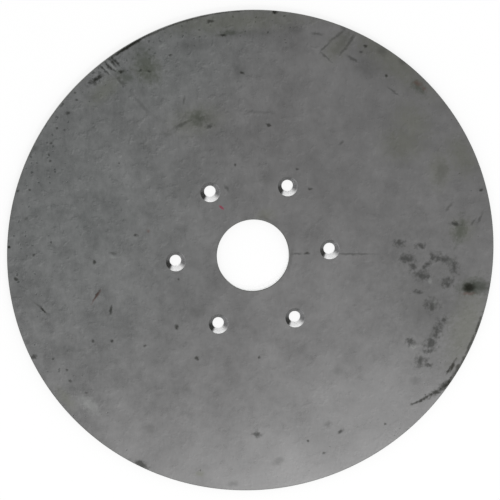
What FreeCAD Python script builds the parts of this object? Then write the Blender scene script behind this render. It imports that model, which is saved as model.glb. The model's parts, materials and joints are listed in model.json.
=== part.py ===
import FreeCAD, Part
import math
import os

# A flat seed drill disc: a round steel plate with a large centre bore, and six countersunk holes
# around it for the rivets or bolts that hold it to its hub.
# The disc lies on its rear face, with the countersunk face up. The origin is the centre of the rear
# face, +Z runs along the bore's axis, and the first hole lies on +X. Lengths are in millimetres and
# angles in degrees.

# Driving dimensions of the plate
disc_diameter = 350.0
plate_thickness = 5.0
bore_diameter = 52.0
# Width and height of the small bevel that takes the burr off each edge of the rim and the bore
edge_break = 0.5

# Driving dimensions of the hole circle
hole_circle_diameter = 111.0
hole_count = 6
hole_diameter = 8.2
countersink_diameter = 14.2
# Full angle of the countersink's cone
countersink_angle = 75.0
# Width and height of the bevel at the rear end of each hole
hole_edge_break = 0.3

full_turn = 360.0
part_folder = "parts"
vertical = FreeCAD.Vector(0, 0, 1)
centre = FreeCAD.Vector(0, 0, 0)


def turned(section):
    """Solid turned about the Z axis from a closed outline of (radius, height) points."""
    corners = [FreeCAD.Vector(radius, 0, height) for radius, height in section]
    outline = Part.makePolygon(corners + corners[:1])
    return Part.Face(outline).revolve(centre, vertical, full_turn)


def plate():
    """The bored plate, with a small bevel on both edges of its rim and of its bore."""
    rim = disc_diameter / 2
    bore = bore_diameter / 2
    top_break = plate_thickness - edge_break
    return turned([
        (bore + edge_break, 0),
        (rim - edge_break, 0),
        (rim, edge_break),
        (rim, top_break),
        (rim - edge_break, plate_thickness),
        (bore + edge_break, plate_thickness),
        (bore, top_break),
        (bore, edge_break),
    ])


def hole_tool():
    """The space of one countersunk hole, standing on the Z axis, with its bevel and its cone carried
    on past the plate by a plate's thickness on each side."""
    shank = hole_diameter / 2
    mouth = countersink_diameter / 2
    cone_slope = math.tan(math.radians(countersink_angle / 2))
    cone_depth = (mouth - shank) / cone_slope
    below = -plate_thickness
    above = plate_thickness + plate_thickness
    return turned([
        (0, below),
        (shank + hole_edge_break - below, below),
        (shank, hole_edge_break),
        (shank, plate_thickness - cone_depth),
        (mouth + (above - plate_thickness) * cone_slope, above),
        (0, above),
    ])


def hole_pattern():
    """One hole tool for each hole, evenly spaced on the hole circle from +X."""
    tools = []
    for index in range(hole_count):
        tool = hole_tool()
        tool.translate(FreeCAD.Vector(hole_circle_diameter / 2, 0, 0))
        tool.rotate(centre, vertical, index * full_turn / hole_count)
        tools.append(tool)
    return tools


def opener_disc():
    """The whole disc, as one solid."""
    drilled = plate().cut(hole_pattern())
    return drilled.Solids[0]


os.makedirs(part_folder, exist_ok=True)
opener_disc().exportStep(os.path.join(part_folder, "opener_disc.step"))
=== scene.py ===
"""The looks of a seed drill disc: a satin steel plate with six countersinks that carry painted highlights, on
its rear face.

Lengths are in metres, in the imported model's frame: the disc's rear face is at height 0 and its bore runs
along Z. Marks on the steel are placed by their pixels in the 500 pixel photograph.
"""

import json
import logging
import math
from dataclasses import dataclass, replace
from enum import Enum
from typing import Any, Union

import bpy
from mathutils import Matrix, Vector


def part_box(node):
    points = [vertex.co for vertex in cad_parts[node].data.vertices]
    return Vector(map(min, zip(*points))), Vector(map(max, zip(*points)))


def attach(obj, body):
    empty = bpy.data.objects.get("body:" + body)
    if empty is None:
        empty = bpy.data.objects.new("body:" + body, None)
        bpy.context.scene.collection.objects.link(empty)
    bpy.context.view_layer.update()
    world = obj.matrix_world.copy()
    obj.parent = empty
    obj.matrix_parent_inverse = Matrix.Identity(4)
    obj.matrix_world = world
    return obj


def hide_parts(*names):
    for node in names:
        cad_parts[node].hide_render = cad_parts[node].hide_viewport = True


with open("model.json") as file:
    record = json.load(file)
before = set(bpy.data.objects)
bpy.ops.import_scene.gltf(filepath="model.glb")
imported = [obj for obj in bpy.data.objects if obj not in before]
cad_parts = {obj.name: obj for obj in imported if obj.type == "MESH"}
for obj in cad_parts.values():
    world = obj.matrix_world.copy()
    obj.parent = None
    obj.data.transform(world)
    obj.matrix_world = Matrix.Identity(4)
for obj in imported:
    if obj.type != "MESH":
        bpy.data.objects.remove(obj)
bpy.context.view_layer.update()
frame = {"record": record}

DISC_NODE = "opener_disc"
BODY = "root"
MILLIMETRES = 1000.0
PHOTO_SIZE_PX = 500.0
PATCH_SIDES = 4
WATTS_PER_RADIANCE = 4.0

# The curve by which a screen shows light.
TOP_LEVEL = 255
CURVE_OFFSET = 0.055
CURVE_POWER = 2.4
CURVE_TOE = 0.04045
CURVE_TOE_SLOPE = 12.92

Colour = tuple[float, float, float]
Offset = tuple[float, float, float]
Reach = tuple[float, float]
Operand = Union["Signal", Colour, float, int]

WHITE: Colour = (1.0, 1.0, 1.0)


def linear_level(level: float) -> float:
    """Turn one level as a screen shows it into the linear one.

    Args:
        level: The level, from 0 to 1.

    Returns:
        The linear level.
    """
    if level > CURVE_TOE:
        return ((level + CURVE_OFFSET) / (1 + CURVE_OFFSET)) ** CURVE_POWER
    return level / CURVE_TOE_SLOPE


def screen_colour(red: float, green: float, blue: float) -> Colour:
    """Turn a colour as a screen shows it into the linear one that shaders use.

    Args:
        red, green, blue: Levels from 0 to 255.

    Returns:
        The linear colour.
    """
    return tuple(linear_level(level / TOP_LEVEL) for level in (red, green, blue))


def level_direction(angle: float) -> Vector:
    """Return the level direction at an angle from +X."""
    return Vector((math.cos(angle), math.sin(angle), 0.0))


class Signal:
    """One output of a node, on which plain arithmetic adds the nodes that work it out."""

    def __init__(self, wiring: "Wiring", socket: bpy.types.NodeSocket) -> None:
        """Wrap an output socket of the tree that wiring builds."""
        self.wiring = wiring
        self.socket = socket

    def other(self, name: str) -> "Signal":
        """Return another output of the same node."""
        return Signal(self.wiring, self.socket.node.outputs[name])

    def __add__(self, term: Operand) -> "Signal":
        """Return the sum."""
        return self.wiring.arithmetic("ADD", self, term)

    def __radd__(self, term: Operand) -> "Signal":
        """Return the sum, this one being the second term."""
        return self.wiring.arithmetic("ADD", term, self)

    def __sub__(self, term: Operand) -> "Signal":
        """Return the difference."""
        return self.wiring.arithmetic("SUBTRACT", self, term)

    def __rsub__(self, term: Operand) -> "Signal":
        """Return the difference, this one being taken away."""
        return self.wiring.arithmetic("SUBTRACT", term, self)

    def __mul__(self, factor: Operand) -> "Signal":
        """Return the product."""
        return self.wiring.arithmetic("MULTIPLY", self, factor)

    def __rmul__(self, factor: Operand) -> "Signal":
        """Return the product, this one being the second factor."""
        return self.wiring.arithmetic("MULTIPLY", factor, self)

    def __truediv__(self, divisor: Operand) -> "Signal":
        """Return the quotient."""
        return self.wiring.arithmetic("DIVIDE", self, divisor)

    def __rtruediv__(self, dividend: Operand) -> "Signal":
        """Return the quotient, this one being the divisor."""
        return self.wiring.arithmetic("DIVIDE", dividend, self)

    def larger(self, rival: Operand) -> "Signal":
        """Return the larger of the two."""
        return self.wiring.arithmetic("MAXIMUM", self, rival)

    def smaller(self, rival: Operand) -> "Signal":
        """Return the smaller of the two."""
        return self.wiring.arithmetic("MINIMUM", self, rival)


def is_wide(operand: Operand) -> bool:
    """Tell numbers from vectors and colours.

    Args:
        operand: A plain value or a signal.

    Returns:
        Whether it is a vector or a colour.
    """
    if isinstance(operand, Signal):
        return operand.socket.type not in ("VALUE", "INT")
    return isinstance(operand, tuple)


class Wiring:
    """Adds nodes to one tree, of a material or of geometry, and links them."""

    def __init__(self, tree: bpy.types.NodeTree) -> None:
        """Work on the tree."""
        self.tree = tree

    def node(self, kind: str, settings: dict[str, Any] | None = None,
             inputs: dict[str, Any] | None = None) -> Signal | None:
        """Add one node.

        Args:
            kind: The node's type.
            settings: The node's own settings, made before its sockets are touched.
            inputs: A value, a signal or a list of signals for each socket, by its identifier or its name.

        Returns:
            The node's first output that is in use, or None for a node that ends a tree.
        """
        made = self.tree.nodes.new(kind)
        for name, value in (settings or {}).items():
            setattr(made, name, value)
        for name, value in (inputs or {}).items():
            self.feed(made, name, value)
        outputs = [socket for socket in made.outputs if socket.enabled]
        return Signal(self, outputs[0]) if outputs else None

    def feed(self, node: bpy.types.Node, name: str, value: Any) -> None:
        """Give one input socket its value or its links.

        Args:
            node: The node.
            name: The socket's identifier or name.
            value: A plain value, a signal, or a list of signals for a socket that takes several.
        """
        sockets = [socket for socket in node.inputs if socket.enabled]
        exact = [socket for socket in sockets if socket.identifier == name]
        socket = (exact or [socket for socket in sockets if socket.name == name])[0]
        signals = value if isinstance(value, list) else [value]
        for signal in signals:
            if isinstance(signal, Signal):
                self.tree.links.new(signal.socket, socket)
            elif socket.type == "VECTOR" and isinstance(signal, (int, float)):
                socket.default_value = (signal, signal, signal)
            elif socket.type == "RGBA":
                socket.default_value = (*signal, 1.0)
            else:
                socket.default_value = signal

    def arithmetic(self, operation: str, first: Operand, second: Operand) -> Signal:
        """Work out two operands with a Math node, or a Vector Math node where one is a vector or a colour.

        Args:
            operation: The name that both kinds of node have for it.
            first: The first operand.
            second: The second operand.

        Returns:
            The result.
        """
        kind, name = "ShaderNodeMath", "Value"
        if is_wide(first) or is_wide(second):
            kind, name = "ShaderNodeVectorMath", "Vector"
        return self.node(kind, {"operation": operation}, {name: first, f"{name}_001": second})

    def function(self, operation: str, operand: Signal) -> Signal:
        """Work out a function of one number, such as its sine."""
        return self.node("ShaderNodeMath", {"operation": operation}, {"Value": operand})

    def dot(self, vector: Signal, axis: Vector) -> Signal:
        """Return a vector's dot product with an axis."""
        return self.node("ShaderNodeVectorMath", {"operation": "DOT_PRODUCT"}, {
            "Vector": vector, "Vector_001": axis})

    def combine(self, x: Operand = 0.0, y: Operand = 0.0, z: Operand = 0.0) -> Signal:
        """Return the vector with these coordinates."""
        return self.node("ShaderNodeCombineXYZ", inputs={"X": x, "Y": y, "Z": z})

    def separate(self, vector: Signal) -> tuple[Signal, Signal, Signal]:
        """Return a vector's three coordinates."""
        x = self.node("ShaderNodeSeparateXYZ", inputs={"Vector": vector})
        return x, x.other("Y"), x.other("Z")

    def step(self, value: Signal, start: float, end: float) -> Signal:
        """Rise smoothly from 0 where the value is at start to 1 where it is at end."""
        return self.node("ShaderNodeMapRange", {"interpolation_type": "SMOOTHSTEP"},
                         {"Value": value, "From Min": start, "From Max": end})

    def blend(self, factor: Operand, under: Operand, over: Operand) -> Signal:
        """Mix two colours: under where the factor is 0, over where it is 1."""
        return self.node("ShaderNodeMix", {"data_type": "RGBA"},
                         {"Factor_Float": factor, "A_Color": under, "B_Color": over})


@dataclass(frozen=True)
class Pattern:
    """Soft noise: the size of its largest patches, how much it counts, and how much fine detail it has."""

    size: float
    depth: float
    detail: float
    roughness: float

    def node(self, wiring: Wiring, place: Signal) -> Signal:
        """Add the noise at a place."""
        return wiring.node("ShaderNodeTexNoise", inputs={
            "Vector": place, "Scale": 1 / self.size, "Detail": self.detail, "Roughness": self.roughness})

    def height(self, wiring: Wiring, place: Signal) -> Signal:
        """Return the noise as a number about 0."""
        return self.node(wiring, place) - 0.5

    def shift(self, wiring: Wiring, place: Signal) -> Signal:
        """Return the noise as a vector about 0."""
        return self.node(wiring, place).other("Color") - (0.5, 0.5, 0.5)


class Finish(Enum):
    """The disc's finishes, by the number that its faces carry."""

    REAR_FACE = 0
    FRONT_FACE = 1
    CUT_EDGE = 2
    COUNTERSINK = 3


@dataclass(frozen=True)
class PlateSizes:
    """The plate's sizes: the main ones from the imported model, the rest the same as in its source."""

    rim_radius: float
    thickness: float
    bore_radius: float
    hole_circle_radius: float
    hole_radius: float
    hole_count: int
    mouth_radius: float = 0.0071
    cone_angle: float = math.radians(75.0)
    edge_break: float = 0.0005
    hole_edge_break: float = 0.0003

    @classmethod
    def from_frame(cls) -> "PlateSizes":
        """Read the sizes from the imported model.

        Returns:
            The sizes, with a rim that stays inside the model's box on every side.
        """
        low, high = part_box(DISC_NODE)
        mounts = {mount["name"]: mount["dims"] for mount in frame["record"]["mounts"]}
        holes = mounts["hub_holes"]
        return cls(
            rim_radius=min(-low.x, high.x, -low.y, high.y),
            thickness=high.z - low.z,
            bore_radius=mounts["centre_bore"]["r_mm"] / MILLIMETRES,
            hole_circle_radius=holes["pcd_mm"] / 2 / MILLIMETRES,
            hole_radius=holes["hole_r_mm"] / MILLIMETRES,
            hole_count=holes["count"],
        )

    @property
    def cone_depth(self) -> float:
        """Return the depth of the countersink's cone."""
        return (self.mouth_radius - self.hole_radius) / math.tan(self.cone_angle / 2)


@dataclass(frozen=True)
class MeshFineness:
    """How finely the plate's skin is divided, and how its faces are joined and shaded."""

    columns: int = 48
    outer_rear_rows: int = 8
    outer_front_rows: int = 16
    inner_rows: int = 2
    wall_rows: int = 3
    bevel_rows: int = 1
    patch_front_rows: int = 8
    patch_rear_rows: int = 5
    cone_rows: int = 3
    hole_rows: int = 1
    patch_reach: float = 0.024
    merge_distance: float = 0.00001
    gentle_angle: float = math.radians(25)


@dataclass(frozen=True)
class Leg:
    """One strip of the plate's skin, up to the ring that it ends at."""

    ring: Signal
    rows: int
    finish: Finish


class DiscTree(Wiring):
    """Geometry nodes for the plate: the strips of one sector with its hole, repeated about the bore."""

    def __init__(self, sizes: PlateSizes, fineness: MeshFineness,
                 finishes: dict[Finish, list[bpy.types.Material]]) -> None:
        """Build the whole tree.

        Args:
            sizes: The plate's sizes, which become the tree's named inputs.
            fineness: How finely the skin is divided.
            finishes: The material of each finish, or its materials for the sectors in turn.
        """
        super().__init__(bpy.data.node_groups.new("disc_form", "GeometryNodeTree"))
        self.fineness = fineness
        self.given: dict[str, Any] = {}
        self.tree.interface.new_socket("Geometry", in_out="OUTPUT", socket_type="NodeSocketGeometry")
        self.group_input = self.tree.nodes.new("NodeGroupInput")
        self.rim = self.named("Rim radius", sizes.rim_radius)
        self.thickness = self.named("Thickness", sizes.thickness)
        self.bore = self.named("Bore radius", sizes.bore_radius)
        self.hole_circle = self.named("Hole circle radius", sizes.hole_circle_radius)
        self.hole = self.named("Hole radius", sizes.hole_radius)
        self.mouth = self.named("Countersink mouth radius", sizes.mouth_radius)
        self.cone_depth = self.named("Countersink depth", sizes.cone_depth)
        self.edge_break = self.named("Edge break", sizes.edge_break)
        self.hole_edge_break = self.named("Hole edge break", sizes.hole_edge_break)
        self.patch_reach = self.named("Reach of a hole's patch", fineness.patch_reach)
        self.merge_distance = self.named("Merge distance", fineness.merge_distance)
        self.count = self.named("Hole count", sizes.hole_count, "NodeSocketInt")
        self.columns = self.named("Columns in a sector", fineness.columns, "NodeSocketInt")
        self.sector = math.tau / self.count
        sector = self.node("GeometryNodeJoinGeometry", inputs={
            "Geometry": self.rim_strips() + self.bore_strips() + self.hole_strips()})
        self.finish(self.repeated(sector), finishes)

    def named(self, name: str, value: Any, kind: str = "NodeSocketFloat") -> Signal:
        """Add a named input and note its value for the modifier.

        Args:
            name: The input's name.
            value: Its value.
            kind: The type of its socket.

        Returns:
            The input.
        """
        socket = self.tree.interface.new_socket(name, in_out="INPUT", socket_type=kind)
        self.given[socket.identifier] = value
        return Signal(self, self.group_input.outputs[name])

    def run(self) -> tuple[Signal, Signal]:
        """Return how far a strip's point is along it and across it, each from 0 to 1."""
        x, y, _ = self.separate(self.node("GeometryNodeInputPosition"))
        return x + 0.5, y + 0.5

    def direction(self, angle: Signal) -> Signal:
        """Return the level direction at an angle from +X."""
        return self.combine(self.function("COSINE", angle), self.function("SINE", angle))

    def arc(self, radius: Operand, height: Operand) -> Signal:
        """Return the ring field of a sector's arc about the bore."""
        along, _ = self.run()
        return self.direction((along - 0.5) * self.sector) * radius + self.combine(z=height)

    def hole_angle(self) -> Signal:
        """Work out the angle about the hole, in even steps along each of the sides of its patch.

        Returns:
            The angle at a strip's point.
        """
        along, _ = self.run()
        sides = along * PATCH_SIDES
        side = self.function("FLOOR", sides)
        from_middle = self.function("FRACT", sides) * 2.0 - 1.0
        return side * (math.tau / PATCH_SIDES) + self.function("ARCTANGENT", from_middle)

    def hole_ring(self, radius: Operand, height: Operand) -> Signal:
        """Return the ring field of a circle about the hole."""
        circle = self.direction(self.hole_angle()) * radius
        return circle + self.combine(x=self.hole_circle, z=height)

    def patch_border(self, height: Operand) -> Signal:
        """Work out the hole patch's outside: two arcs about the bore and two radial sides.

        Args:
            height: The height that it lies at.

        Returns:
            Its ring field.
        """
        outwards, sideways, _ = self.separate(self.direction(self.hole_angle()))
        reach = self.function("ABSOLUTE", outwards).larger(self.function("ABSOLUTE", sideways))
        radius = self.hole_circle + self.patch_reach * (outwards / reach)
        turned = self.direction(self.sector * 0.5 * (sideways / reach))
        return turned * radius + self.combine(z=height)

    def strips(self, columns: Signal, start: Signal, *legs: Leg) -> list[Signal]:
        """Build the strips that lead from the start ring to each leg's ring in turn.

        Args:
            columns: How many faces a strip has along it.
            start: The first ring.
            legs: The strips, walked so that their faces look out of the steel.

        Returns:
            The strips' meshes.
        """
        built = []
        near = start
        _, across = self.run()
        for leg in legs:
            grid = self.node("GeometryNodeMeshGrid", inputs={
                "Size X": 1.0, "Size Y": 1.0, "Vertices X": columns + 1, "Vertices Y": leg.rows + 1})
            place = self.node("ShaderNodeMix", {"data_type": "VECTOR"}, {
                "Factor_Float": across, "A_Vector": near, "B_Vector": leg.ring})
            laid = self.node("GeometryNodeSetPosition", inputs={"Geometry": grid, "Position": place})
            built.append(self.node(
                "GeometryNodeStoreNamedAttribute", {"data_type": "INT", "domain": "FACE"},
                {"Geometry": laid, "Name": "finish", "Value": leg.finish.value}))
            near = leg.ring
        return built

    def rim_strips(self) -> list[Signal]:
        """Build the skin outside the hole's patch.

        Returns:
            The strips of the rear face, the rim with its two bevels, and the front face.
        """
        fine = self.fineness
        inner = self.hole_circle + self.patch_reach
        bevel = self.rim - self.edge_break
        top_bevel = self.thickness - self.edge_break
        return self.strips(
            self.columns, self.arc(inner, 0.0),
            Leg(self.arc(bevel, 0.0), fine.outer_rear_rows, Finish.REAR_FACE),
            Leg(self.arc(self.rim, self.edge_break), fine.bevel_rows, Finish.CUT_EDGE),
            Leg(self.arc(self.rim, top_bevel), fine.wall_rows, Finish.CUT_EDGE),
            Leg(self.arc(bevel, self.thickness), fine.bevel_rows, Finish.CUT_EDGE),
            Leg(self.arc(inner, self.thickness), fine.outer_front_rows, Finish.FRONT_FACE),
        )

    def bore_strips(self) -> list[Signal]:
        """Build the skin inside the hole's patch.

        Returns:
            The strips of the front face, the bore with its two bevels, and the rear face.
        """
        fine = self.fineness
        outer = self.hole_circle - self.patch_reach
        bevel = self.bore + self.edge_break
        top_bevel = self.thickness - self.edge_break
        return self.strips(
            self.columns, self.arc(outer, self.thickness),
            Leg(self.arc(bevel, self.thickness), fine.inner_rows, Finish.FRONT_FACE),
            Leg(self.arc(self.bore, top_bevel), fine.bevel_rows, Finish.CUT_EDGE),
            Leg(self.arc(self.bore, self.edge_break), fine.wall_rows, Finish.CUT_EDGE),
            Leg(self.arc(bevel, 0.0), fine.bevel_rows, Finish.CUT_EDGE),
            Leg(self.arc(outer, 0.0), fine.inner_rows, Finish.REAR_FACE),
        )

    def hole_strips(self) -> list[Signal]:
        """Build the skin of the hole's patch.

        Returns:
            The strips of the front face, the countersink, the hole with its bevel, and the rear face.
        """
        fine = self.fineness
        cone_end = self.thickness - self.cone_depth
        return self.strips(
            self.columns * PATCH_SIDES, self.patch_border(self.thickness),
            Leg(self.hole_ring(self.mouth, self.thickness), fine.patch_front_rows, Finish.FRONT_FACE),
            Leg(self.hole_ring(self.hole, cone_end), fine.cone_rows, Finish.COUNTERSINK),
            Leg(self.hole_ring(self.hole, self.hole_edge_break), fine.hole_rows, Finish.COUNTERSINK),
            Leg(self.hole_ring(self.hole + self.hole_edge_break, 0.0), fine.bevel_rows, Finish.COUNTERSINK),
            Leg(self.patch_border(0.0), fine.patch_rear_rows, Finish.REAR_FACE),
        )

    def repeated(self, sector: Signal) -> Signal:
        """Copy the sector round the bore, once for each hole.

        Args:
            sector: The sector's mesh.

        Returns:
            The instances.
        """
        seats = self.node("GeometryNodeMeshLine", inputs={"Count": self.count, "Offset": 0.0})
        turn = self.combine(z=self.node("GeometryNodeInputIndex") * self.sector)
        return self.node("GeometryNodeInstanceOnPoints", inputs={
            "Points": seats, "Instance": sector, "Rotation": turn})

    def same(self, number: Signal, value: int) -> Signal:
        """Return whether a whole number has this value."""
        return self.node("FunctionNodeCompare", {"data_type": "INT", "operation": "EQUAL"}, {
            "A": number, "B": value})

    def sector_number(self) -> Signal:
        """Work out which sector a face lies in.

        Returns:
            The sector's number, from the one about +X.
        """
        x, y, _ = self.separate(self.node("GeometryNodeInputPosition"))
        turns = self.arithmetic("ARCTAN2", y, x) / self.sector + 0.5
        return self.arithmetic("FLOORED_MODULO", self.function("FLOOR", turns), self.count)

    def finish(self, sectors: Signal, finishes: dict[Finish, list[bpy.types.Material]]) -> None:
        """Join the sectors into one closed skin, round only its gentle edges, and give it its finishes.

        Args:
            sectors: The instances.
            finishes: The materials of each finish.
        """
        whole = self.node("GeometryNodeRealizeInstances", inputs={"Geometry": sectors})
        whole = self.node("GeometryNodeMergeByDistance", inputs={
            "Geometry": whole, "Distance": self.merge_distance})
        whole = self.node("GeometryNodeSetShadeSmooth", {"domain": "FACE"}, {
            "Geometry": whole, "Shade Smooth": True})
        gentle = self.node("FunctionNodeCompare", {"operation": "LESS_THAN"}, {
            "A": self.node("GeometryNodeInputMeshEdgeAngle"), "B": self.fineness.gentle_angle})
        whole = self.node("GeometryNodeSetShadeSmooth", {"domain": "EDGE"}, {
            "Geometry": whole, "Shade Smooth": gentle})
        # The faces' normals, by which the hole walls get their painted light and shade.
        whole = self.node(
            "GeometryNodeStoreNamedAttribute", {"data_type": "FLOAT_VECTOR", "domain": "FACE"},
            {"Geometry": whole, "Name": "facing", "Value": self.node("GeometryNodeInputNormal")})
        number = self.node("GeometryNodeInputNamedAttribute", {"data_type": "INT"}, {"Name": "finish"})
        sector = self.sector_number()
        for finish, materials in finishes.items():
            for index, material in enumerate(materials):
                selection = self.same(number, finish.value)
                if len(materials) > 1:
                    selection = self.node("FunctionNodeBooleanMath", {"operation": "AND"}, {
                        "Boolean": selection, "Boolean_001": self.same(sector, index)})
                whole = self.node("GeometryNodeSetMaterial", inputs={
                    "Geometry": whole, "Selection": selection, "Material": material})
        group_output = self.tree.nodes.new("NodeGroupOutput")
        self.tree.links.new(whole.socket, group_output.inputs["Geometry"])


@dataclass(frozen=True)
class Mark:
    """A blot, speck or scratch, as an ellipse in the photograph's pixels, turned anticlockwise in degrees."""

    x: float
    y: float
    length: float
    width: float
    turn: float = 0.0


@dataclass(frozen=True)
class Viewpoint:
    """The place that the photograph was taken from, worked out from the disc's outline, bore and holes."""

    tilt: float = math.radians(12.41)
    heading: float = math.radians(114.61)
    roll: float = math.radians(-3.38)
    distance: float = 1.5420
    aim_x: float = -0.00200
    aim_y: float = 0.00415
    aim_z: float = 0.005
    lens_mm: float = 155.30
    sensor_mm: float = 36.0

    def axes(self) -> tuple[Vector, Vector, Vector]:
        """Work out how the camera is turned.

        Returns:
            The directions to the picture's right, to its top, and from the disc to the camera.
        """
        away = Vector((
            math.sin(self.tilt) * math.cos(self.heading),
            math.sin(self.tilt) * math.sin(self.heading),
            math.cos(self.tilt),
        ))
        upright = Vector((-math.sin(self.roll), math.cos(self.roll), 0.0))
        right = upright.cross(away).normalized()
        return right, away.cross(right), away

    def position(self) -> Vector:
        """Return the camera's place."""
        return Vector((self.aim_x, self.aim_y, self.aim_z)) + self.axes()[2] * self.distance

    def on_level(self, x: float, y: float, height: float) -> Vector:
        """Find what a pixel of the photograph shows.

        Args:
            x: The pixel's place from the left.
            y: The pixel's place from the top.
            height: The height of the level plane that is looked at.

        Returns:
            The point of that plane behind the pixel.
        """
        right, up, away = self.axes()
        middle = PHOTO_SIZE_PX / 2
        focal_px = self.lens_mm / self.sensor_mm * PHOTO_SIZE_PX
        ray = right * ((x - middle) / focal_px) + up * ((middle - y) / focal_px) - away
        start = self.position()
        return start + ray * ((height - start.z) / ray.z)

    def build(self) -> None:
        """Create the camera and make it the scene's own."""
        right, up, away = self.axes()
        data = bpy.data.cameras.new("photo_camera")
        data.lens = self.lens_mm
        data.sensor_width = self.sensor_mm
        camera = bpy.data.objects.new("photo_camera", data)
        turned = Matrix((right, up, away)).transposed().to_4x4()
        camera.matrix_world = Matrix.Translation(self.position()) @ turned
        bpy.context.scene.collection.objects.link(camera)
        bpy.context.scene.camera = camera


@dataclass(frozen=True)
class Deposit:
    """Marks of one colour and strength.

    Their softness is the share of their size over which the border fades on each side of it, and broken
    says how far the noise reaches into them: solid at 0, specks at 3.
    """

    name: str
    colour: Colour
    strength: float
    softness: float
    broken: float
    marks: tuple[Mark, ...]


SOOT = screen_colour(20, 21, 14)
STAIN = screen_colour(48, 49, 47)
OLIVE = screen_colour(84, 87, 66)
DARK_OLIVE = screen_colour(50, 56, 46)
RUST = screen_colour(82, 56, 50)
RED = screen_colour(120, 44, 64)
PALE = screen_colour(158, 161, 158)
COOL = screen_colour(92, 105, 103)

RIM_DEPOSITS = (
    # The dark band on the upper left rim is partly a stain and partly painted shade along the rim's edge.
    Deposit("dark band on the upper left rim", SOOT, strength=0.9, softness=0.5, broken=0.7, marks=(
        Mark(x=130, y=45.8, length=42, width=3.0, turn=32),
        Mark(x=275, y=12, length=5, width=3),
        Mark(x=9, y=247, length=3, width=3),
    )),
    Deposit("thin line on the top rim", SOOT, strength=0.5, softness=0.6, broken=1.4, marks=(
        Mark(x=154.5, y=32.8, length=22, width=1.9, turn=24),
        Mark(x=170.5, y=25.9, length=21, width=1.5, turn=20),
        Mark(x=187, y=20.4, length=21, width=1.4, turn=16),
        Mark(x=204, y=16.1, length=21, width=1.3, turn=12),
        Mark(x=221, y=13.0, length=21, width=1.2, turn=8),
        Mark(x=238, y=11.2, length=21, width=1.1, turn=4),
    )),
    Deposit("dark band on the lower right rim", SOOT, strength=0.64, softness=0.7, broken=2.6, marks=(
        Mark(x=478, y=326, length=20, width=2.2, turn=70),
        Mark(x=470.5, y=344, length=24, width=2.8, turn=65),
        Mark(x=459, y=366.5, length=30, width=3.8, turn=59),
        Mark(x=450, y=380.5, length=14, width=3.4, turn=55),
        Mark(x=141, y=464, length=14, width=5.5, turn=-26),
        Mark(x=34, y=357, length=6, width=4, turn=15),
    )),
    Deposit("faint smears on the rim", STAIN, strength=0.35, softness=0.8, broken=2.0, marks=(
        Mark(x=245, y=9.5, length=90, width=2.2, turn=2),
        Mark(x=481, y=287, length=22, width=13, turn=-3),
        Mark(x=29, y=154, length=6, width=4, turn=55),
        Mark(x=35, y=148, length=6, width=5),
        Mark(x=27, y=342, length=4, width=4),
        Mark(x=343, y=28, length=5, width=3, turn=-20),
        Mark(x=402, y=62, length=7, width=4, turn=-38),
        Mark(x=382, y=51, length=10, width=7, turn=-35),
    )),
)

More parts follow.
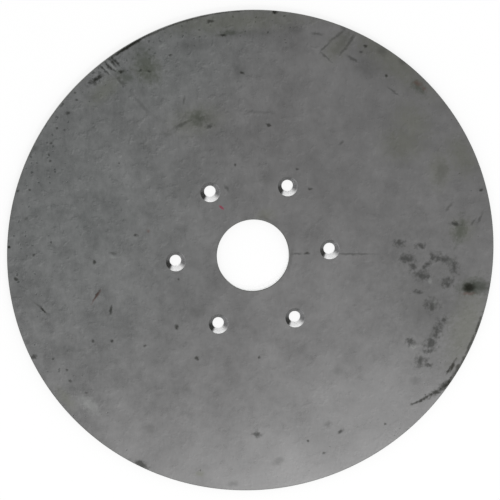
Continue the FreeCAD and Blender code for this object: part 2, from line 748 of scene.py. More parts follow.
FACE_DEPOSITS = (
    Deposit("cool sheen on the left", COOL, strength=0.14, softness=0.9, broken=0.5, marks=(
        Mark(x=60, y=190, length=250, width=330, turn=0),
        Mark(x=150, y=70, length=200, width=120, turn=30),
    )),
    Deposit("olive film", OLIVE, strength=0.26, softness=0.9, broken=2.0, marks=(
        Mark(x=147, y=69, length=24, width=20, turn=-30),
        Mark(x=197, y=120, length=42, width=24, turn=10),
        Mark(x=338, y=46, length=30, width=16, turn=45),
        Mark(x=412, y=122, length=34, width=26, turn=-50),
        Mark(x=403, y=143, length=36, width=30),
        Mark(x=440, y=170, length=18, width=30),
        Mark(x=462, y=155, length=34, width=22, turn=-65),
        Mark(x=462, y=230, length=20, width=20),
        Mark(x=105, y=90, length=34, width=14, turn=40),
        Mark(x=466, y=325, length=26, width=70, turn=-12),
        Mark(x=395, y=60, length=90, width=26, turn=-40),
        Mark(x=230, y=22, length=130, width=18, turn=3),
        Mark(x=266, y=215, length=15, width=11),
        Mark(x=200, y=474, length=8, width=5),
        Mark(x=66, y=399, length=22, width=9, turn=-52),
    )),
    Deposit("dark olive patches", DARK_OLIVE, strength=0.5, softness=0.8, broken=2.6, marks=(
        Mark(x=146, y=64, length=36, width=19, turn=-62),
        Mark(x=126, y=77, length=16, width=9, turn=-40),
        Mark(x=197, y=118, length=15, width=12, turn=20),
        Mark(x=229, y=33, length=18, width=5, turn=3),
        Mark(x=419, y=88, length=16, width=8, turn=-45),
        Mark(x=460, y=231, length=24, width=11, turn=80),
    )),
    Deposit("soft grey patches", STAIN, strength=0.26, softness=0.9, broken=1.8, marks=(
        Mark(x=290.3, y=261, length=23, width=2.8, turn=80),
        Mark(x=267.5, y=219.5, length=13, width=2.4, turn=-23),
        Mark(x=143, y=92, length=9, width=7),
        Mark(x=238, y=71, length=11, width=10),
        Mark(x=343, y=42, length=26, width=9, turn=52),
        Mark(x=245, y=34, length=44, width=7, turn=3),
        Mark(x=196, y=45, length=34, width=10, turn=8),
        Mark(x=203, y=120, length=16, width=8, turn=20),
        Mark(x=367, y=68, length=22, width=14, turn=-25),
        Mark(x=442, y=172, length=10, width=18, turn=-10),
        Mark(x=420, y=300, length=60, width=110, turn=10),
        Mark(x=196, y=312, length=16, width=10),
        Mark(x=62, y=350, length=15, width=12),
        Mark(x=265, y=178, length=10, width=10),
        Mark(x=338, y=370, length=7, width=8),
        Mark(x=279, y=461, length=11, width=6, turn=25),
        Mark(x=187, y=389, length=6, width=5),
        Mark(x=150, y=429, length=14, width=9),
        Mark(x=328, y=424, length=7, width=5),
        Mark(x=297, y=30, length=12, width=7),
        Mark(x=167, y=134, length=14, width=6, turn=15),
        Mark(x=415.5, y=380.5, length=10, width=9),
        Mark(x=410, y=260, length=30, width=20, turn=-20),
        Mark(x=443, y=267, length=34, width=30),
        Mark(x=434, y=325, length=22, width=50, turn=-15),
        Mark(x=140, y=103, length=24, width=3, turn=-50),
        Mark(x=256, y=112, length=26, width=2.6, turn=-4),
        Mark(x=233, y=483.5, length=9, width=5),
    )),
    Deposit("pale rubbed spots", PALE, strength=0.18, softness=0.8, broken=2.4, marks=(
        Mark(x=113, y=66.5, length=18, width=1.6, turn=-46),
        Mark(x=107, y=70, length=16, width=1.6, turn=-44),
        Mark(x=449, y=261, length=6, width=3.6, turn=-30),
        Mark(x=430, y=281, length=3, width=5),
        Mark(x=434, y=303, length=4.5, width=6),
        Mark(x=413, y=347, length=5, width=3),
        Mark(x=113, y=257.5, length=7.5, width=3),
        Mark(x=162, y=46, length=8, width=4, turn=30),
        Mark(x=90, y=405, length=20, width=10, turn=-45),
    )),
    Deposit("stains", STAIN, strength=0.74, softness=0.95, broken=3.8, marks=(
        Mark(x=399, y=243, length=8, width=5),
        Mark(x=420, y=246, length=8, width=5),
        Mark(x=407, y=259, length=11, width=8, turn=-20),
        Mark(x=413, y=266, length=10, width=4, turn=-45),
        Mark(x=428, y=264, length=11, width=4.5, turn=40),
        Mark(x=436, y=257.5, length=13, width=6, turn=5),
        Mark(x=446, y=260, length=12, width=6, turn=-35),
        Mark(x=454, y=268, length=6, width=11),
        Mark(x=421, y=275, length=14, width=7, turn=-8),
        Mark(x=447, y=283, length=9, width=9),
        Mark(x=417, y=292, length=8, width=3),
        Mark(x=431, y=305, length=11, width=10),
        Mark(x=443, y=320, length=6, width=6),
        Mark(x=437, y=331, length=20, width=6.5, turn=72),
        Mark(x=431, y=343, length=10, width=9),
        Mark(x=410, y=342, length=7, width=6),
        Mark(x=428, y=351, length=8, width=4),
        Mark(x=421, y=361, length=9, width=8),
        Mark(x=427, y=365, length=7, width=3.5),
        Mark(x=257, y=434, length=7, width=6),
        Mark(x=93, y=82, length=9, width=6, turn=40),
        Mark(x=209, y=126, length=6, width=4),
        Mark(x=455.5, y=223.5, length=8, width=3, turn=-10),
        Mark(x=341, y=431, length=6, width=2.6, turn=40),
    )),
    Deposit("scratches", STAIN, strength=0.5, softness=0.8, broken=1.5, marks=(
        Mark(x=337, y=36, length=19, width=2.6, turn=38),
        Mark(x=350, y=42, length=17, width=2.8, turn=56),
        Mark(x=26, y=219, length=5, width=3.4),
        Mark(x=113, y=253, length=8, width=2.4),
        Mark(x=181, y=125, length=15, width=3.2, turn=25),
        Mark(x=121, y=82, length=15, width=3, turn=-48),
        Mark(x=184, y=100, length=7, width=1.8, turn=82),
        Mark(x=325, y=47, length=14, width=2, turn=45),
        Mark(x=326, y=57, length=14, width=2, turn=-42),
        Mark(x=343, y=51, length=11, width=2.2, turn=50),
        Mark(x=317, y=34, length=10, width=2.6, turn=-5),
        Mark(x=393, y=91, length=11, width=2, turn=-38),
        Mark(x=352, y=58.5, length=12, width=2.4, turn=-30),
        Mark(x=480, y=218, length=11, width=2.4, turn=65),
        Mark(x=449, y=207, length=9, width=3, turn=50),
        Mark(x=456, y=224.5, length=14, width=2.2, turn=-6),
        Mark(x=473, y=222, length=8, width=2.2, turn=50),
        Mark(x=353, y=254, length=36, width=1.7),
        Mark(x=297, y=253.5, length=9, width=2.2),
        Mark(x=341, y=143, length=6, width=2.4, turn=45),
        Mark(x=227, y=188.5, length=7, width=2.6, turn=-50),
        Mark(x=41, y=308, length=17, width=2, turn=-40),
    )),
    Deposit("deep marks", SOOT, strength=0.72, softness=0.7, broken=2.2, marks=(
        Mark(x=170, y=55, length=3.4, width=2.5),
        Mark(x=242, y=73, length=3.4, width=2.7),
        Mark(x=269, y=125, length=4.7, width=2.4, turn=-30),
        Mark(x=210, y=21.5, length=7.7, width=3, turn=12),
        Mark(x=223, y=35, length=5, width=2.4),
        Mark(x=365, y=46, length=3.1, width=2.7),
        Mark(x=386, y=76, length=2.7, width=2.7),
        Mark(x=481, y=190, length=3.1, width=2.7),
        Mark(x=307, y=253.5, length=5.1, width=2.5),
        Mark(x=16, y=279, length=3.9, width=3.4),
        Mark(x=94, y=262, length=3.1, width=3.9),
        Mark(x=136, y=235, length=3.9, width=3.1),
        Mark(x=111, y=310, length=9.3, width=2.5, turn=80),
        Mark(x=177, y=327, length=3.1, width=4.8),
        Mark(x=197, y=358, length=3.4, width=3.9),
        Mark(x=259, y=357, length=2.6, width=3.1),
        Mark(x=44, y=311, length=8, width=1.8, turn=-50),
        Mark(x=96.5, y=295.5, length=11, width=1.7, turn=56),
        Mark(x=112, y=341, length=3.1, width=3.1),
    )),
    Deposit("halo of the blot by the right rim", DARK_OLIVE, strength=0.72, softness=0.85, broken=1.0, marks=(
        Mark(x=474, y=286.5, length=26, width=13, turn=2),
    )),
    Deposit("black blot by the right rim", SOOT, strength=0.95, softness=0.55, broken=0.5, marks=(
        Mark(x=469, y=287.5, length=11.5, width=8.5),
    )),
    Deposit("upper left gouges, lower right branch", SOOT, strength=0.78, softness=0.85, broken=3.2, marks=(
        Mark(x=116, y=62, length=11, width=2.6, turn=-47),
        Mark(x=112.5, y=62.5, length=9, width=2.0, turn=-47),
        Mark(x=108.5, y=66, length=11, width=2.2, turn=-42),
        Mark(x=104, y=69.5, length=9, width=1.8, turn=-42),
        Mark(x=97.5, y=78.5, length=10, width=4.2, turn=40),
        Mark(x=121, y=72, length=4, width=3),
        Mark(x=443, y=386.5, length=17, width=5.6, turn=40),
        Mark(x=434, y=393, length=17, width=4.4, turn=32),
        Mark(x=424, y=398.5, length=21, width=2.8, turn=27),
        Mark(x=453, y=365, length=11, width=2.6, turn=64),
        Mark(x=449, y=370, length=8, width=2.0, turn=60),
    )),
    Deposit("small specks", SOOT, strength=0.62, softness=0.8, broken=1.6, marks=(
        Mark(x=50, y=161, length=2.3, width=2.3),
        Mark(x=49, y=155, length=2.3, width=2.3),
        Mark(x=51, y=143, length=2.3, width=3.1),
        Mark(x=57, y=128, length=2.3, width=2.3),
        Mark(x=64, y=130, length=2.3, width=2.3),
        Mark(x=68, y=113, length=3.9, width=2.7, turn=30),
        Mark(x=63, y=104, length=2.3, width=2.3),
        Mark(x=77, y=100, length=2.3, width=2),
        Mark(x=75, y=93, length=3.1, width=2),
        Mark(x=30, y=190, length=2.3, width=2.3),
        Mark(x=18, y=191, length=3.1, width=2),
        Mark(x=141, y=70, length=2.3, width=2.3),
        Mark(x=149, y=71, length=2.7, width=2.3),
        Mark(x=34, y=255, length=3.1, width=2.3),
        Mark(x=51, y=242, length=2, width=2),
        Mark(x=93, y=341, length=2.7, width=2.8),
        Mark(x=145, y=346, length=2.2, width=2.3),
        Mark(x=53, y=359, length=2.3, width=2.3),
        Mark(x=67, y=370, length=2.3, width=2.3),
        Mark(x=70, y=381, length=3.1, width=2.3),
        Mark(x=86, y=393, length=3.1, width=2.3),
        Mark(x=119, y=163, length=2.3, width=2),
        Mark(x=179, y=279, length=2.3, width=2),
        Mark(x=297, y=169, length=3.1, width=2.3),
        Mark(x=310, y=189, length=3.9, width=1.9),
        Mark(x=235, y=165, length=2, width=2),
        Mark(x=385, y=424, length=2.3, width=2.3),
        Mark(x=308, y=441, length=2.3, width=2.3),
        Mark(x=324, y=453, length=3.1, width=2.3),
        Mark(x=361, y=52, length=3.1, width=2.2),
    )),
    Deposit("rust", RUST, strength=0.42, softness=0.8, broken=2.0, marks=(
        Mark(x=418, y=83.5, length=8, width=4, turn=-20),
        Mark(x=424, y=89, length=6, width=3, turn=-45),
        Mark(x=468, y=293.5, length=11, width=2.6),
        Mark(x=96, y=297, length=15, width=1.8, turn=56),
        Mark(x=148, y=231, length=3, width=3),
    )),
    Deposit("red paint speck", RED, strength=0.8, softness=0.5, broken=0.6, marks=(
        Mark(x=221.5, y=207.5, length=6, width=2.3, turn=-40),
    )),
)


class MaterialWiring(Wiring):
    """The wiring of one material, from the place on the piece to its Principled shader."""

    def __init__(self, name: str) -> None:
        """Create the material with an empty tree.

        Args:
            name: The material's name.
        """
        self.material = bpy.data.materials.new(name)
        self.material.use_nodes = True
        self.material.node_tree.nodes.clear()
        super().__init__(self.material.node_tree)
        self.here = self.node("ShaderNodeTexCoord").other("Object")

    def radius(self) -> Signal:
        """Return the distance from the disc's origin."""
        return self.node("ShaderNodeVectorMath", {"operation": "LENGTH"}, {"Vector": self.here})

    def toned(self, colour: Operand, tone: Signal) -> Signal:
        """Return the colour made lighter or darker by the tone, which is 1 where it stays."""
        return self.node("ShaderNodeVectorMath", {"operation": "SCALE"}, {"Vector": colour, "Scale": tone})

    def relief(self, height: Signal) -> Signal:
        """Return the normal of a surface raised by a height in metres."""
        return self.node("ShaderNodeBump", inputs={"Distance": 1.0, "Height": height})

    def surface(self, sockets: dict[str, Any]) -> bpy.types.Material:
        """End the material in its shader.

        Args:
            sockets: The shader's values and links.

        Returns:
            The finished material.
        """
        shader = self.node("ShaderNodeBsdfPrincipled", inputs=sockets)
        self.node("ShaderNodeOutputMaterial", inputs={"Surface": shader})
        return self.material


@dataclass(frozen=True)
class Markings:
    """The deposits, seen from the viewpoint of the photograph and laid on the disc's front face."""

    view: Viewpoint
    face_height: float
    sectors: int
    ragged: Pattern = Pattern(size=0.0030, depth=0.0024, detail=3.0, roughness=0.6)

    def footprint(self, mark: Mark) -> tuple[Vector, Vector, Vector]:
        """Work out where a mark lies on the front face.

        Args:
            mark: The mark in the photograph.

        Returns:
            Its centre, and its two axes, scaled so that a step from the centre to the mark's border along
            either one has a dot product of 1 with it.
        """
        turn = math.radians(mark.turn)
        centre = self.view.on_level(mark.x, mark.y, self.face_height)
        tip = self.view.on_level(mark.x + math.cos(turn), mark.y - math.sin(turn), self.face_height)
        per_pixel = (tip - centre) / (tip - centre).length_squared
        across = Vector((-per_pixel.y, per_pixel.x, 0.0))
        return centre, per_pixel * 2 / mark.length, across * 2 / mark.width

    def reaches(self, mark: Mark, softness: float, sector: int) -> bool:
        """Tell whether a mark reaches into one sector of the face.

        Args:
            mark: The mark in the photograph.
            softness: How far its soft border reaches past it, as a share of its own size.
            sector: The sector's number, from the one about +X.

        Returns:
            Whether any of the mark can show there.
        """
        centre, along, across = self.footprint(mark)
        sector_angle = math.tau / self.sectors
        turned = math.atan2(centre.y, centre.x) - sector * sector_angle
        aside = abs((turned + math.pi) % math.tau - math.pi) - sector_angle / 2
        gap = centre.xy.length * math.sin(min(max(aside, 0.0), math.pi / 2))
        return gap < (1 + softness) / min(along.length, across.length) + self.ragged.depth

    def in_sector(self, deposits: tuple[Deposit, ...], sector: int) -> tuple[Deposit, ...]:
        """Keep the marks that reach into one sector of the face, so that its material holds no others.

        Args:
            deposits: All the deposits.
            sector: The sector's number, from the one about +X.

        Returns:
            The deposits that have marks there, with only those marks.
        """
        near = [
            replace(deposit, marks=tuple(
                mark for mark in deposit.marks if self.reaches(mark, deposit.softness, sector)))
            for deposit in deposits
        ]
        return tuple(deposit for deposit in near if deposit.marks)

    def mask(self, wiring: MaterialWiring, place: Signal, gaps: Signal, deposit: Deposit) -> Signal:
        """Cover the deposit's marks.

        Args:
            wiring: The material's wiring.
            place: The place on the disc, shifted so that marks have ragged outlines.
            gaps: The noise that breaks marks up.
            deposit: The deposit.

        Returns:
            Its strength inside its marks and 0 outside them.
        """
        nearest = None
        for mark in deposit.marks:
            centre, along, across = self.footprint(mark)
            offset = place - tuple(centre)
            lengthwise = wiring.dot(offset, along)
            sideways = wiring.dot(offset, across)
            inside = lengthwise * lengthwise + sideways * sideways
            nearest = nearest.smaller(inside) if nearest else inside
        distance = wiring.function("SQRT", nearest) + gaps * deposit.broken
        return wiring.step(distance, 1 + deposit.softness, 1 - deposit.softness) * deposit.strength

    def laid_on(self, wiring: MaterialWiring, steel: Signal,
                deposits: tuple[Deposit, ...]) -> tuple[Signal, Operand]:
        """Lay deposits on the steel, one after another.

        Args:
            wiring: The material's wiring.
            steel: The bare steel's colour.
            deposits: The deposits.

        Returns:
            The colour of the marked steel, and how much of it is covered.
        """
        colour = steel
        cover = 0.0
        if deposits:
            shift = self.ragged.shift(wiring, wiring.here)
            place = wiring.here + shift * (self.ragged.depth, self.ragged.depth, 0.0)
            _, _, gaps = wiring.separate(shift)
        for deposit in deposits:
            mask = self.mask(wiring, place, gaps, deposit)
            colour = wiring.blend(mask, colour, deposit.colour)
            colour.socket.node.label = deposit.name
            cover = mask.larger(cover)
        return colour, cover


@dataclass(frozen=True)
class FaceFinish:
    """Hardened steel, dark satin grey: clouded and pitted, with the painted light and shade of small dent
    marks, and marked by use.

    Of the clouds, mottle, grain and painted dent shading the pattern's depth is a share of the steel's tone,
    and of the ragged outlines of pits it is a shift in metres. Heights, cells and the pits' depth are in
    metres.
    The face is coarser towards coarse_side and more worn over the distances of worn_rim. Its rim carries
    painted light: lighter towards rim_light_side and darker on the far side, over the distances of
    rim_light_reach.
    """

    markings: Markings
    steel: Colour = screen_colour(102.4, 102, 102)
    clouds: Pattern = Pattern(size=0.040, depth=0.55, detail=3.0, roughness=0.52)
    mottle: Pattern = Pattern(size=0.010, depth=0.2, detail=4.0, roughness=0.7)
    mottle_height: float = 0.00004
    mottle_roughness: float = 0.25
    grain: Pattern = Pattern(size=0.0030, depth=0.16, detail=3.0, roughness=0.6)
    grain_height: float = 0.00001
    grain_stretch: Offset = (1.7, 0.75, 1.0)
    # Small dent marks are painted light and shade: the pattern against its copy shifted by
    # dent_shading_shift, lighter on one side and darker on the other.
    dent: Pattern = Pattern(size=0.0062, depth=0.08, detail=3.0, roughness=0.6)
    dent_rise: Reach = (0.06, 0.14)
    dent_shading_shift: Offset = (-0.0005, 0.0008, 0.0)
    coarse_side: float = math.radians(145.0)
    coarse_reach: Reach = (-0.02, 0.15)
    coarse_gain: float = 1.5
    worn_rim: Reach = (0.125, 0.168)
    worn_smooth: float = 0.4
    # Painted light on the rim, lighter towards this side and darker on the far side.
    rim_light_side: float = math.radians(240.0)
    rim_light_reach: Reach = (0.138, 0.168)
    rim_light_gain: float = 0.3
    pit_ragged: Pattern = Pattern(size=0.0016, depth=0.0022, detail=1.0, roughness=0.5)
    pit_cell: float = 0.0040
    pit_share: float = 0.95
    pit_rise: float = 0.30
    pit_squeeze: float = 4.4
    pit_border: float = 0.08
    pit_tone: float = 0.42
    pit_depth: float = 0.00003
    cover_roughness: float = 0.15
    metallic: float = 0.92
    roughness: float = 0.31

    def coarse(self, wiring: MaterialWiring) -> Signal:
        """Return how coarse the face is: 0 on most of it, up to 1 on its upper left."""
        return wiring.step(wiring.dot(wiring.here, level_direction(self.coarse_side)), *self.coarse_reach)

    def worn(self, wiring: MaterialWiring, coarse: Signal) -> Signal:
        """Return how worn the face is: more towards its rim, and most where it is coarse."""
        share = coarse * (1 - self.worn_smooth) + self.worn_smooth
        return wiring.step(wiring.radius(), *self.worn_rim) * share

    def rubbed(self, wiring: MaterialWiring) -> Signal:
        """Return the rim's painted light: lighter towards rim_light_side and darker on its far side."""
        aside = wiring.dot(wiring.here, level_direction(self.rim_light_side))
        return wiring.step(wiring.radius(), *self.rim_light_reach) * aside * self.rim_light_gain

    def painted_dent_shading(self, wiring: MaterialWiring) -> Signal:
        """Paint the light and shade of small flat dent marks over the face.

        Args:
            wiring: The material's wiring.

        Returns:
            Their painted tone: painted light along their one side and painted shade along the other.
        """
        near, far = (
            wiring.step(self.dent.height(wiring, place), *self.dent_rise)
            for place in (wiring.here, wiring.here + self.dent_shading_shift)
        )
        return far - near

    def pits(self, wiring: MaterialWiring, worn: Signal) -> Signal:
        """Scatter ragged pits over the face, each of its own size, in the cells of a loose grid.

        Args:
            wiring: The material's wiring.
            worn: How worn the face is, as more cells hold a pit there.

        Returns:
            1 inside the pits and 0 between them.
        """
        place = wiring.here + self.pit_ragged.shift(wiring, wiring.here) * self.pit_ragged.depth
        cell = wiring.node("ShaderNodeTexVoronoi", {"voronoi_dimensions": "2D"}, {
            "Vector": place, "Scale": 1 / self.pit_cell})
        chance, _, _ = wiring.separate(cell.other("Color"))
        depth = chance - self.pit_share + worn * self.pit_rise - cell * self.pit_squeeze * self.pit_rise
        return wiring.step(depth, 0.0, self.pit_border)

    def material(self, name: str, deposits: tuple[Deposit, ...]) -> bpy.types.Material:
        """Build the material with these deposits on it.

        Args:
            name: The material's name.
            deposits: The deposits, of which there may be none.

        Returns:
            The material.
        """
        wiring = MaterialWiring(name)
        coarse = self.coarse(wiring)
        gain = coarse * self.coarse_gain + 1.0
        clouds = self.clouds.height(wiring, wiring.here)
        mottle = self.mottle.height(wiring, wiring.here) * gain
        grain = self.grain.height(wiring, wiring.here * self.grain_stretch) * gain
        pits = self.pits(wiring, self.worn(wiring, coarse))
        tone = 1.0 + clouds * self.clouds.depth + mottle * self.mottle.depth + grain * self.grain.depth
        # Painted light and shade of small dent marks.
        tone = tone + self.painted_dent_shading(wiring) * gain * self.dent.depth
        # Painted light on the rim: lighter towards rim_light_side and darker on its far side.
        steel = wiring.toned(self.steel, tone + self.rubbed(wiring) - pits * self.pit_tone)
        colour, cover = self.markings.laid_on(wiring, steel, deposits)
        height = grain * self.grain_height + mottle * self.mottle_height - pits * self.pit_depth
        return wiring.surface({
            "Base Color": colour,
            "Metallic": self.metallic,
            "Roughness": self.roughness + mottle * self.mottle_roughness + cover * self.cover_roughness,
            "Normal": wiring.relief(height),
        })

    def materials(self) -> list[bpy.types.Material]:
        """Build the front face's materials.

        Returns:
            One material for each sector, from the one about +X.
        """
        everything = FACE_DEPOSITS + RIM_DEPOSITS
        return [
            self.material(f"disc_steel_front_{sector + 1}", self.markings.in_sector(everything, sector))
            for sector in range(self.markings.sectors)
        ]


@dataclass(frozen=True)
class Side:
    """One side of a hole, painted lighter or darker by how light falls there: the direction from +X that its
    wall faces, its colour, its reach and its metal.

    The reach gives the cosines, to that direction, at which the side ends and at which it is full. Where a
    side has a lip, its share drops to below_lip under those heights.
    """

    facing: float
    colour: Colour
    reach: Reach
    metallic: float
    lip: Reach | None = None
    below_lip: float = 1.0

    def share(self, wiring: MaterialWiring) -> Signal:
        """Work out how much of a wall is on this side.

        Args:
            wiring: The material's wiring.

        Returns:
            1 where the wall faces the side's direction, and 0 far from it.
        """
        facing = wiring.node("ShaderNodeAttribute", {"attribute_name": "facing"}).other("Vector")
        level = wiring.node("ShaderNodeVectorMath", {"operation": "NORMALIZE"}, {
            "Vector": facing * (1.0, 1.0, 0.0)})
        share = wiring.step(wiring.dot(level, level_direction(self.facing)), *self.reach)
        if self.lip:
            _, _, height = wiring.separate(wiring.here)
            share = share * (wiring.step(height, *self.lip) * (1 - self.below_lip) + self.below_lip)
        return share


@dataclass(frozen=True)
class CutEdgeFinish:
    """The cut rim and bore: the same steel with fine lines round the edge.

    The bore's lower side carries a painted highlight, from bore_reach inwards and below the heights of
    wall_reach.
    """

    markings: Markings
    # Painted highlight, near white, on the bore's lower wall.
    painted_highlight: Side = Side(
        facing=math.radians(111.0), colour=screen_colour(244, 245, 245), reach=(0.1, 0.75), metallic=0.0)
    bore_reach: Reach = (0.032, 0.029)
    wall_reach: Reach = (0.0047, 0.0042)
    steel: Colour = screen_colour(98, 99, 96)
    lines: Pattern = Pattern(size=0.006, depth=0.5, detail=4.0, roughness=0.6)
    line_stretch: Offset = (1.0, 1.0, 22.0)
    line_height: float = 0.000012
    reach_down: float = 0.6
    metallic: float = 0.92
    roughness: float = 0.4

    def material(self) -> bpy.types.Material:
        """Build the material.

        Returns:
            The material.
        """
        wiring = MaterialWiring("disc_steel_cut_edge")
        lines = self.lines.height(wiring, wiring.here * self.line_stretch)
        steel = wiring.toned(self.steel, 1.0 + lines * self.lines.depth)
        marked, _ = self.markings.laid_on(wiring, steel, RIM_DEPOSITS)
        _, _, height = wiring.separate(wiring.here)
        run_down = wiring.step(height, 0.0, self.markings.face_height * self.reach_down)
        wall = wiring.step(wiring.radius(), *self.bore_reach) * wiring.step(height, *self.wall_reach)
        # Painted highlight on the bore's lower wall, near white and not metallic.
        worn = self.painted_highlight.share(wiring) * wall
        return wiring.surface({
            "Base Color": wiring.blend(worn, wiring.blend(run_down, steel, marked), self.painted_highlight.colour),
            "Metallic": self.metallic + worn * (self.painted_highlight.metallic - self.metallic),
            "Roughness": self.roughness,
            "Normal": wiring.relief(lines * self.line_height),
        })


@dataclass(frozen=True)
class CountersinkFinish:
    """Machined steel with fine rings: dull at the top, with a painted highlight at the bottom, a painted
    reflection on the right and painted shade at the lower left.
    """

    steel: Colour = screen_colour(86, 86, 86)
    # Painted reflection on the walls on the hole's right side, weaker below the lip.
    right: Side = Side(
        facing=math.radians(186.0), colour=screen_colour(143, 143, 144), reach=(0.4, 0.95), metallic=0.5,
        lip=(0.0036, 0.0050), below_lip=0.7)
    # Painted highlight, near white, on the walls at the bottom of the hole.
    painted_highlight: Side = Side(
        facing=math.radians(93.0), colour=screen_colour(252, 252, 252), reach=(0.35, 1.0), metallic=0.0)
    # Painted shade on the walls at the lower left of the hole.
    painted_shade: Side = Side(
        facing=math.radians(21.0), colour=screen_colour(44, 44, 42), reach=(0.80, 0.97), metallic=0.6)
    stain: Pattern = Pattern(size=0.004, depth=0.4, detail=3.0, roughness=0.5)
    stain_roughness: float = 0.2
    ring_pitch: float = 0.00022
    ring_height: float = 0.0000005
    metallic: float = 0.6
    roughness: float = 0.42

    def material(self) -> bpy.types.Material:
        """Build the material, its sides laid one over the other.

        Returns:
            The material.
        """
        wiring = MaterialWiring("disc_steel_countersink")
        _, _, height = wiring.separate(wiring.here)
        rings = wiring.function("SINE", height * (math.tau / self.ring_pitch))
        stain = self.stain.height(wiring, wiring.here)
        steel = self.steel
        metallic = self.metallic
        # Lay the painted reflection, highlight and shade over the steel, one after another.
        for side in (self.right, self.painted_highlight, self.painted_shade):
            share = side.share(wiring)
            steel = wiring.blend(share, steel, side.colour)
            metallic = metallic + share * (side.metallic - metallic)
        return wiring.surface({
            "Base Color": wiring.toned(steel, 1.0 + stain * self.stain.depth),
            "Metallic": metallic,
            "Roughness": self.roughness + stain * self.stain_roughness,
            "Normal": wiring.relief(rings * self.ring_height),
        })


@dataclass(frozen=True)
class OpenerDisc:
    """The whole disc: one plate of hardened steel, with its bore and its ring of countersunk holes."""

    sizes: PlateSizes
    view: Viewpoint
    fineness: MeshFineness = MeshFineness()
    name: str = "opener_disc_plate"

    def finishes(self) -> dict[Finish, list[bpy.types.Material]]:
        """Build the materials.

        Returns:
            Each finish's materials: one, or one for each sector.
        """
        markings = Markings(self.view, self.sizes.thickness, self.sizes.hole_count)
        face = FaceFinish(markings)
        return {
            Finish.REAR_FACE: [face.material("disc_steel_rear", ())],
            Finish.FRONT_FACE: face.materials(),
            Finish.CUT_EDGE: [CutEdgeFinish(markings).material()],
            Finish.COUNTERSINK: [CountersinkFinish().material()],
        }

    def mesh(self) -> bpy.types.Mesh:
        """Grow the plate's mesh.

        Returns:
            A plain mesh with its finishes on its faces.
        """
        tree = DiscTree(self.sizes, self.fineness, self.finishes())
        host = bpy.data.objects.new(f"{self.name}_host", bpy.data.meshes.new(f"{self.name}_seed"))
        bpy.context.scene.collection.objects.link(host)
        modifier = host.modifiers.new("disc_form", "NODES")
        modifier.node_group = tree.tree
        for identifier, value in tree.given.items():
            modifier[identifier] = value
        depsgraph = bpy.context.evaluated_depsgraph_get()
        mesh = bpy.data.meshes.new_from_object(host.evaluated_get(depsgraph), depsgraph=depsgraph)
        mesh.name = self.name
        # The tree's materials stand behind one empty slot, which no face uses.
        mesh.materials.pop(index=0)
        bpy.data.objects.remove(host)
        return mesh

    def build(self) -> bpy.types.Object:
        """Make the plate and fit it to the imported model.

        Returns:
            The plate.
        """
        plate = bpy.data.objects.new(self.name, self.mesh())
        bpy.context.scene.collection.objects.link(plate)
        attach(plate, BODY)
        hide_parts(DISC_NODE)
        return plate


@dataclass(frozen=True)
class Softbox:
    """A lamp with a soft front, which the camera doesn't see."""

    name: str
    place: Offset
    aim: Offset
    width: float
    depth: float
    radiance: float

    def hang(self) -> None:
        """Create the lamp, turned to its aim."""
        data = bpy.data.lights.new(self.name, "AREA")
        data.shape = "RECTANGLE"
        data.size = self.width
        data.size_y = self.depth
        data.energy = self.radiance * WATTS_PER_RADIANCE * self.width * self.depth
        lamp = bpy.data.objects.new(self.name, data)
        lamp.visible_camera = False
        towards = Vector(self.aim) - Vector(self.place)
        turned = towards.to_track_quat("-Z", "Y").to_matrix().to_4x4()
        lamp.matrix_world = Matrix.Translation(Vector(self.place)) @ turned
        bpy.context.scene.collection.objects.link(lamp)


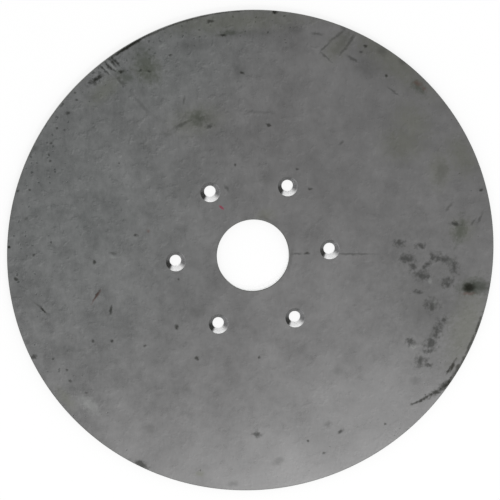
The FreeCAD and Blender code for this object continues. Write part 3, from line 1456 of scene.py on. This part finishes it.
@dataclass(frozen=True)
class Studio:
    """A pale floor, a plain sky, and a soft lamp beyond the disc's lower edge as the camera sees it."""

    view: Viewpoint
    floor_size: float = 8.0
    floor_drop: float = 0.0001
    floor_colour: Colour = (0.9, 0.9, 0.9)
    floor_white: float = 0.8
    white_strength: float = 1.0
    sky_strength: float = 0.98
    softbox: Softbox = Softbox(
        "softbox", place=(0.24, -0.87, 1.4), aim=(0.0, 0.0, 0.0), width=0.7, depth=0.34, radiance=5.2)

    def floor_material(self) -> bpy.types.Material:
        """Build a pale floor that keeps shadows and is near white to the camera and to shiny steel.

        Returns:
            The material.
        """
        wiring = MaterialWiring("studio_floor")
        camera_ray = wiring.node("ShaderNodeLightPath")
        seen = camera_ray.larger(camera_ray.other("Is Glossy Ray"))
        seen = seen.larger(camera_ray.other("Is Transmission Ray"))
        paint = wiring.node("ShaderNodeBsdfDiffuse", inputs={"Color": self.floor_colour})
        white = wiring.node("ShaderNodeEmission", inputs={"Color": WHITE, "Strength": self.white_strength})
        mixed = wiring.node("ShaderNodeMixShader", inputs={
            "Fac": seen * self.floor_white, "Shader": paint, "Shader_001": white})
        wiring.node("ShaderNodeOutputMaterial", inputs={"Surface": mixed})
        return wiring.material

    def floor(self) -> None:
        """Lay the floor just under the disc."""
        half = self.floor_size / 2
        corners = [(-half, -half), (half, -half), (half, half), (-half, half)]
        mesh = bpy.data.meshes.new("studio_floor")
        mesh.from_pydata([(x, y, -self.floor_drop) for x, y in corners], [], [range(len(corners))])
        mesh.materials.append(self.floor_material())
        floor = bpy.data.objects.new("studio_floor", mesh)
        bpy.context.scene.collection.objects.link(floor)

    def sky(self) -> None:
        """Surround the scene with plain white light."""
        world = bpy.data.worlds.new("studio_sky")
        world.use_nodes = True
        world.node_tree.nodes.clear()
        wiring = Wiring(world.node_tree)
        sky = wiring.node("ShaderNodeBackground", inputs={"Color": WHITE, "Strength": self.sky_strength})
        wiring.node("ShaderNodeOutputWorld", inputs={"Surface": sky})
        bpy.context.scene.world = world

    def build(self) -> None:
        """Set up the floor, the light and the camera."""
        self.floor()
        self.sky()
        self.softbox.hang()
        self.view.build()
        bpy.context.scene.view_settings.view_transform = "Standard"


def main() -> None:
    """Build the disc and the studio around it, and report the disc's one piece."""
    logging.basicConfig(level=logging.INFO, format="%(name)s: %(message)s")
    log = logging.getLogger("opener_disc")
    view = Viewpoint()
    plate = OpenerDisc(PlateSizes.from_frame(), view).build()
    log.info("%s: %d faces, %d finishes", plate.name, len(plate.data.polygons), len(plate.data.materials))
    Studio(view).build()


if __name__ == "__main__":
    main()
